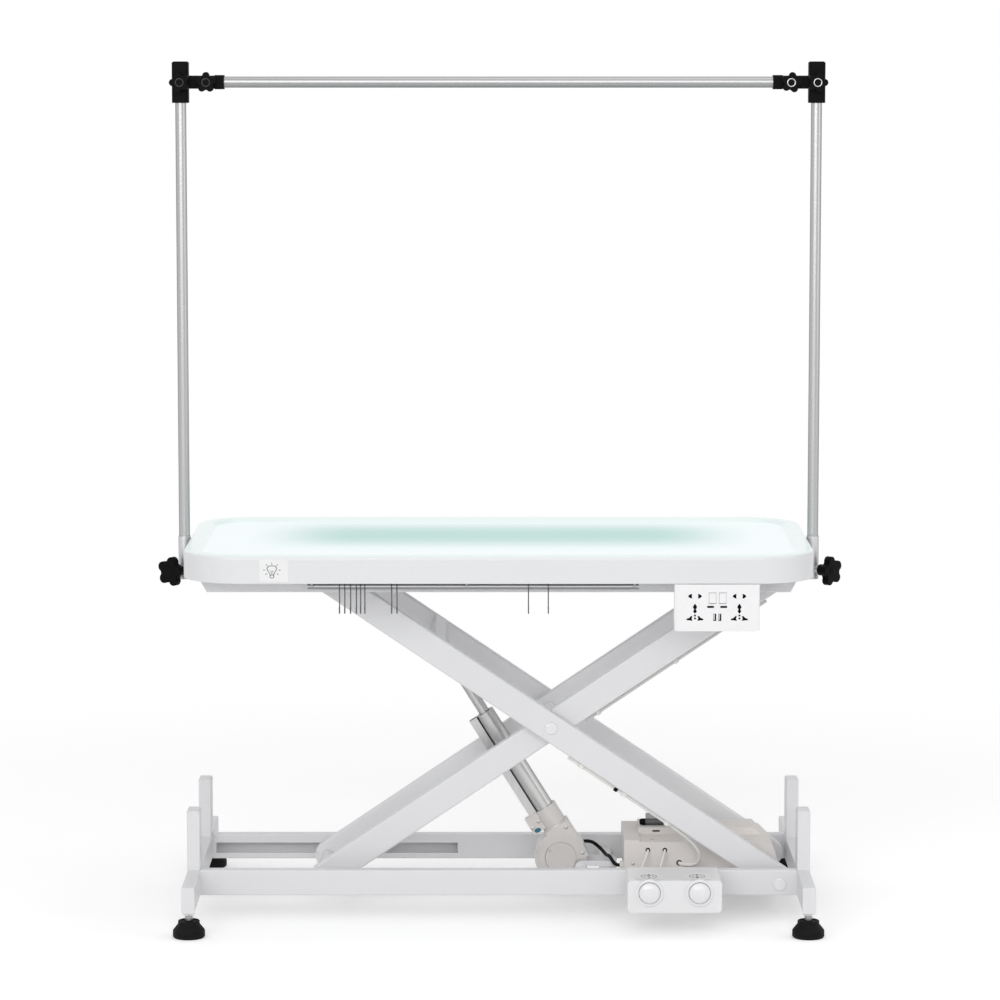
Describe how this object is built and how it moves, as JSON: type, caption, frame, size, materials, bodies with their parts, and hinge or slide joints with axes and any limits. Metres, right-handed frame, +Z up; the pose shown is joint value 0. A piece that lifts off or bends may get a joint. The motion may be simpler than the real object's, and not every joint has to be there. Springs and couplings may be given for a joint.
{
  "type": "electric grooming table",
  "caption": "Height-adjustable grooming table: scissor lift with a linear actuator on a low base, lit rimmed tabletop, post gantry with crossbar, hook rail, outlets and foot switch",
  "frame": {"origin": "On the floor under the middle of the whole object", "axes": "+X right along the tabletop, +Y to the rear, +Z up"},
  "size_m": [1.3293, 0.713, 1.6442],
  "materials": {
    "white_steel": "smooth white powder coat",
    "box_steel": "warm white powder coat",
    "zinc_steel": "bright zinc plated",
    "bright_steel": "polished",
    "black_rubber": "matt moulded rubber",
    "white_plastic": "satin moulded plastic",
    "milky_panel": "milky, lit from its edges",
    "cable_sheath": "smooth cable sheath",
    "roller_plastic": "moulded roller",
    "actuator_case": "cast and painted",
    "actuator_metal": "drawn tube",
    "black_plastic": "moulded, fine grain"
  },
  "bodies": {
    "base": {"base_rail_front": "white_steel", "base_rail_rear": "white_steel", "base_legs": "white_steel", "base_cross_tubes": "white_steel", "base_bolts": "zinc_steel", "control_box": "box_steel", "foot_switch_box": "white_plastic", "base_cables": "cable_sheath", "lift_cable": "cable_sheath"},
    "outer_arms": {"outer_arm_front": "white_steel", "outer_arm_rear": "white_steel", "outer_cross_tubes": "white_steel", "centre_pivot_bolts": "zinc_steel", "outer_arm_cable": "cable_sheath"},
    "inner_arms": {"inner_arm_front": "white_steel", "inner_arm_rear": "white_steel", "inner_cross_tubes": "white_steel", "inner_arm_cable": "cable_sheath"},
    "tabletop": {"top_rail_front": "white_steel", "top_rail_rear": "white_steel", "top_cross_members": "white_steel", "tabletop_shell": "white_plastic", "light_panel": "milky_panel", "post_sleeves": "white_plastic", "hook_rail": "bright_steel", "outlet_panel": "white_plastic"},
    "actuator_body": {"actuator_housing": "actuator_case", "actuator_tube": "actuator_metal"},
    "actuator_rod_body": {"actuator_rod": "actuator_metal"},
    "posts": {"gantry_posts": "bright_steel"},
    "top_bar": {"crossbar": "bright_steel", "corner_clamps": "black_plastic"},
    "foot_front_left": {"foot_front_left": "black_rubber"},
    "foot_front_right": {"foot_front_right": "black_rubber"},
    "foot_rear_left": {"foot_rear_left": "black_rubber"},
    "foot_rear_right": {"foot_rear_right": "black_rubber"},
    "foot_button_up": {"foot_button_up": "white_plastic"},
    "foot_button_down": {"foot_button_down": "white_plastic"},
    "lower_roller_front": {"lower_roller_front": "roller_plastic"},
    "lower_roller_rear": {"lower_roller_rear": "roller_plastic"},
    "upper_roller_front": {"upper_roller_front": "roller_plastic"},
    "upper_roller_rear": {"upper_roller_rear": "roller_plastic"},
    "height_knob_left": {"height_knob_left": "black_plastic"},
    "height_knob_right": {"height_knob_right": "black_plastic"},
    "hook_01": {"hook_01": "bright_steel"},
    "hook_02": {"hook_02": "bright_steel"},
    "hook_03": {"hook_03": "bright_steel"},
    "hook_04": {"hook_04": "bright_steel"},
    "hook_05": {"hook_05": "bright_steel"},
    "hook_06": {"hook_06": "bright_steel"},
    "hook_07": {"hook_07": "bright_steel"},
    "hook_08": {"hook_08": "bright_steel"},
    "hook_09": {"hook_09": "bright_steel"},
    "hook_10": {"hook_10": "bright_steel"},
    "rocker_left": {"rocker_left": "white_plastic"},
    "rocker_right": {"rocker_right": "white_plastic"},
    "clamp_knob_left_post": {"clamp_knob_left_post": "black_plastic"},
    "clamp_knob_left_bar": {"clamp_knob_left_bar": "black_plastic"},
    "clamp_knob_right_bar": {"clamp_knob_right_bar": "black_plastic"},
    "clamp_knob_right_post": {"clamp_knob_right_post": "black_plastic"}
  },
  "joints": [
    {"name": "lift", "type": "hinge", "parent": "base", "child": "outer_arms", "pos_m": [0.541, 0, 0.072], "axis": [0, 1, 0], "range_deg": [-26, 19], "deforming": ["lift_cable"]},
    {"name": "scissor_centre", "type": "hinge", "parent": "outer_arms", "child": "inner_arms", "pos_m": [0.10161, 0, 0.36837], "axis": [0, 1, 0], "range_deg": [-38.1, 52.1]},
    {"name": "top_pivot", "type": "hinge", "parent": "inner_arms", "child": "tabletop", "pos_m": [0.541, 0, 0.66474], "axis": [0, 1, 0], "range_deg": [-26.1, 19.1]},
    {"name": "actuator_tilt", "type": "hinge", "parent": "base", "child": "actuator_body", "pos_m": [0.163, 0, 0.071], "axis": [0, 1, 0], "range_deg": [-36.2, 26.5]},
    {"name": "actuator_stroke", "type": "slide", "parent": "actuator_body", "child": "actuator_rod_body", "axis": [-0.5299, 0, 0.848], "range_m": [-0.128, 0.0937]},
    {"name": "lower_roller_front_spin", "type": "hinge", "parent": "inner_arms", "child": "lower_roller_front", "pos_m": [-0.33778, 0, 0.072], "axis": [0, 1, 0], "continuous": true},
    {"name": "lower_roller_rear_spin", "type": "hinge", "parent": "inner_arms", "child": "lower_roller_rear", "pos_m": [-0.33778, 0, 0.072], "axis": [0, 1, 0], "continuous": true},
    {"name": "upper_roller_front_spin", "type": "hinge", "parent": "outer_arms", "child": "upper_roller_front", "pos_m": [-0.33778, 0, 0.66474], "axis": [0, 1, 0], "continuous": true},
    {"name": "upper_roller_rear_spin", "type": "hinge", "parent": "outer_arms", "child": "upper_roller_rear", "pos_m": [-0.33778, 0, 0.66474], "axis": [0, 1, 0], "continuous": true},
    {"name": "posts_lift", "type": "slide", "parent": "tabletop", "child": "posts", "axis": [0, 0, 1], "range_m": [0, 0.05]},
    {"name": "crossbar_slide", "type": "slide", "parent": "posts", "child": "top_bar", "axis": [0, 0, 1], "range_m": [-0.5, 0]},
    {"name": "height_knob_left_turn", "type": "hinge", "parent": "tabletop", "child": "height_knob_left", "pos_m": [-0.6123, 0, 0.65924], "axis": [-0.5299, -0.848, 0], "continuous": true},
    {"name": "height_knob_right_turn", "type": "hinge", "parent": "tabletop", "child": "height_knob_right", "pos_m": [0.6123, 0, 0.65924], "axis": [0.7431, -0.6691, 0], "continuous": true},
    {"name": "clamp_knob_left_post_turn", "type": "hinge", "parent": "top_bar", "child": "clamp_knob_left_post", "pos_m": [-0.6123, -0.02, 1.60474], "axis": [0, -1, 0], "continuous": true},
    {"name": "clamp_knob_left_bar_turn", "type": "hinge", "parent": "top_bar", "child": "clamp_knob_left_bar", "pos_m": [-0.5615, -0.02, 1.60474], "axis": [0, -1, 0], "continuous": true},
    {"name": "clamp_knob_right_bar_turn", "type": "hinge", "parent": "top_bar", "child": "clamp_knob_right_bar", "pos_m": [0.5615, -0.02, 1.60474], "axis": [0, -1, 0], "continuous": true},
    {"name": "clamp_knob_right_post_turn", "type": "hinge", "parent": "top_bar", "child": "clamp_knob_right_post", "pos_m": [0.6123, -0.02, 1.60474], "axis": [0, -1, 0], "continuous": true},
    {"name": "hook_01_swing", "type": "hinge", "parent": "tabletop", "child": "hook_01", "pos_m": [-0.2998, -0.288, 0.66524], "axis": [1, 0, 0], "range_deg": [-55, 55]},
    {"name": "hook_02_swing", "type": "hinge", "parent": "tabletop", "child": "hook_02", "pos_m": [-0.2898, -0.288, 0.66524], "axis": [1, 0, 0], "range_deg": [-55, 55]},
    {"name": "hook_03_swing", "type": "hinge", "parent": "tabletop", "child": "hook_03", "pos_m": [-0.2789, -0.288, 0.66524], "axis": [1, 0, 0], "range_deg": [-55, 55]},
    {"name": "hook_04_swing", "type": "hinge", "parent": "tabletop", "child": "hook_04", "pos_m": [-0.268, -0.288, 0.66524], "axis": [1, 0, 0], "range_deg": [-55, 55]},
    {"name": "hook_05_swing", "type": "hinge", "parent": "tabletop", "child": "hook_05", "pos_m": [-0.26, -0.288, 0.66524], "axis": [1, 0, 0], "range_deg": [-55, 55]},
    {"name": "hook_06_swing", "type": "hinge", "parent": "tabletop", "child": "hook_06", "pos_m": [-0.252, -0.288, 0.66524], "axis": [1, 0, 0], "range_deg": [-55, 55]},
    {"name": "hook_07_swing", "type": "hinge", "parent": "tabletop", "child": "hook_07", "pos_m": [-0.2015, -0.288, 0.66524], "axis": [1, 0, 0], "range_deg": [-55, 55]},
    {"name": "hook_08_swing", "type": "hinge", "parent": "tabletop", "child": "hook_08", "pos_m": [-0.1915, -0.288, 0.66524], "axis": [1, 0, 0], "range_deg": [-55, 55]},
    {"name": "hook_09_swing", "type": "hinge", "parent": "tabletop", "child": "hook_09", "pos_m": [0.0563, -0.288, 0.66524], "axis": [1, 0, 0], "range_deg": [-55, 55]},
    {"name": "hook_10_swing", "type": "hinge", "parent": "tabletop", "child": "hook_10", "pos_m": [0.0937, -0.288, 0.66524], "axis": [1, 0, 0], "range_deg": [-55, 55]},
    {"name": "foot_button_up_press", "type": "slide", "parent": "base", "child": "foot_button_up", "axis": [0, 1, 0], "range_m": [0, 0.004], "stiffness_N_per_m": 800, "springref_m": -0.002},
    {"name": "foot_button_down_press", "type": "slide", "parent": "base", "child": "foot_button_down", "axis": [0, 1, 0], "range_m": [0, 0.004], "stiffness_N_per_m": 800, "springref_m": -0.002},
    {"name": "rocker_left_tilt", "type": "hinge", "parent": "tabletop", "child": "rocker_left", "pos_m": [0.4027, -0.299, 0.64524], "axis": [1, 0, 0], "range_deg": [-9, 9]},
    {"name": "rocker_right_tilt", "type": "hinge", "parent": "tabletop", "child": "rocker_right", "pos_m": [0.4217, -0.299, 0.64524], "axis": [1, 0, 0], "range_deg": [-9, 9]},
    {"name": "foot_front_left_turn", "type": "hinge", "parent": "base", "child": "foot_front_left", "pos_m": [-0.5865, -0.326, 0], "axis": [0, 0, 1], "continuous": true},
    {"name": "foot_front_right_turn", "type": "hinge", "parent": "base", "child": "foot_front_right", "pos_m": [0.5865, -0.326, 0], "axis": [0, 0, 1], "continuous": true},
    {"name": "foot_rear_left_turn", "type": "hinge", "parent": "base", "child": "foot_rear_left", "pos_m": [-0.5865, 0.326, 0], "axis": [0, 0, 1], "continuous": true},
    {"name": "foot_rear_right_turn", "type": "hinge", "parent": "base", "child": "foot_rear_right", "pos_m": [0.5865, 0.326, 0], "axis": [0, 0, 1], "continuous": true}
  ],
  "couplings": [
    {"joint": "scissor_centre", "follows": "lift", "ratio": -2},
    {"joint": "top_pivot", "follows": "lift", "ratio": 1},
    {"joint": "actuator_tilt", "follows": "lift", "ratio": 1.39},
    {"joint": "actuator_stroke", "follows": "lift", "m_per_rad": 0.281}
  ]
}
